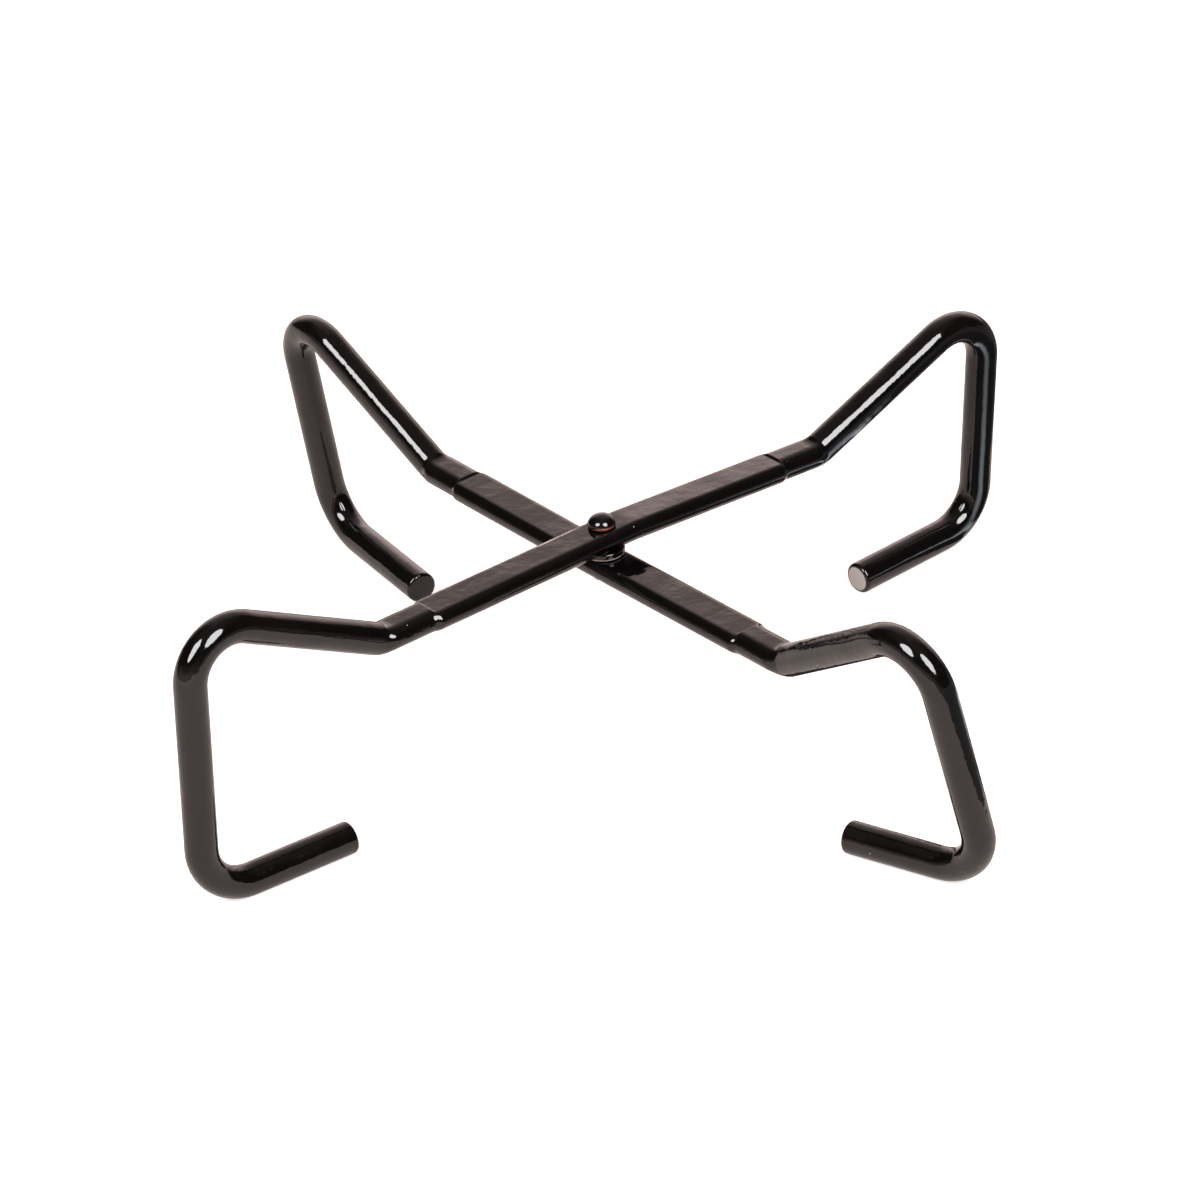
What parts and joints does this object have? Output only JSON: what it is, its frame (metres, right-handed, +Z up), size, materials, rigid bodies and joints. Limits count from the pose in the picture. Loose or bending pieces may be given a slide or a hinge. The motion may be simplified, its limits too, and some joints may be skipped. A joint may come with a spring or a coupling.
{
  "type": "plate display stand",
  "caption": "Low folding cross stand for a plate or bowl: bent round rods with pressed flat middles, riveted at the crossing, with raised shoulders and inturned feet.",
  "frame": {"origin": "on the floor plane, below the rivet, at the middle of the footprint", "axes": "+Z up, +X along the upper rod, +Y along the lower rod, with the stand open"},
  "size_m": [0.1579, 0.1583, 0.0458],
  "materials": {
    "black_enamel": "gloss black enamel",
    "painted_copper": "gloss black enamel, worn to copper at the rim"
  },
  "bodies": {
    "lower_frame": {"lower_rod": "black_enamel", "pivot_rivet": "painted_copper", "spacer_washer": "black_enamel"},
    "upper_frame": {"upper_rod": "black_enamel"}
  },
  "joints": [
    {"name": "fold_hinge", "type": "hinge", "parent": "lower_frame", "child": "upper_frame", "pos_m": [0, 0, 0.0309], "axis": [0, 0, 1], "range_deg": [-75, 75]}
  ]
}
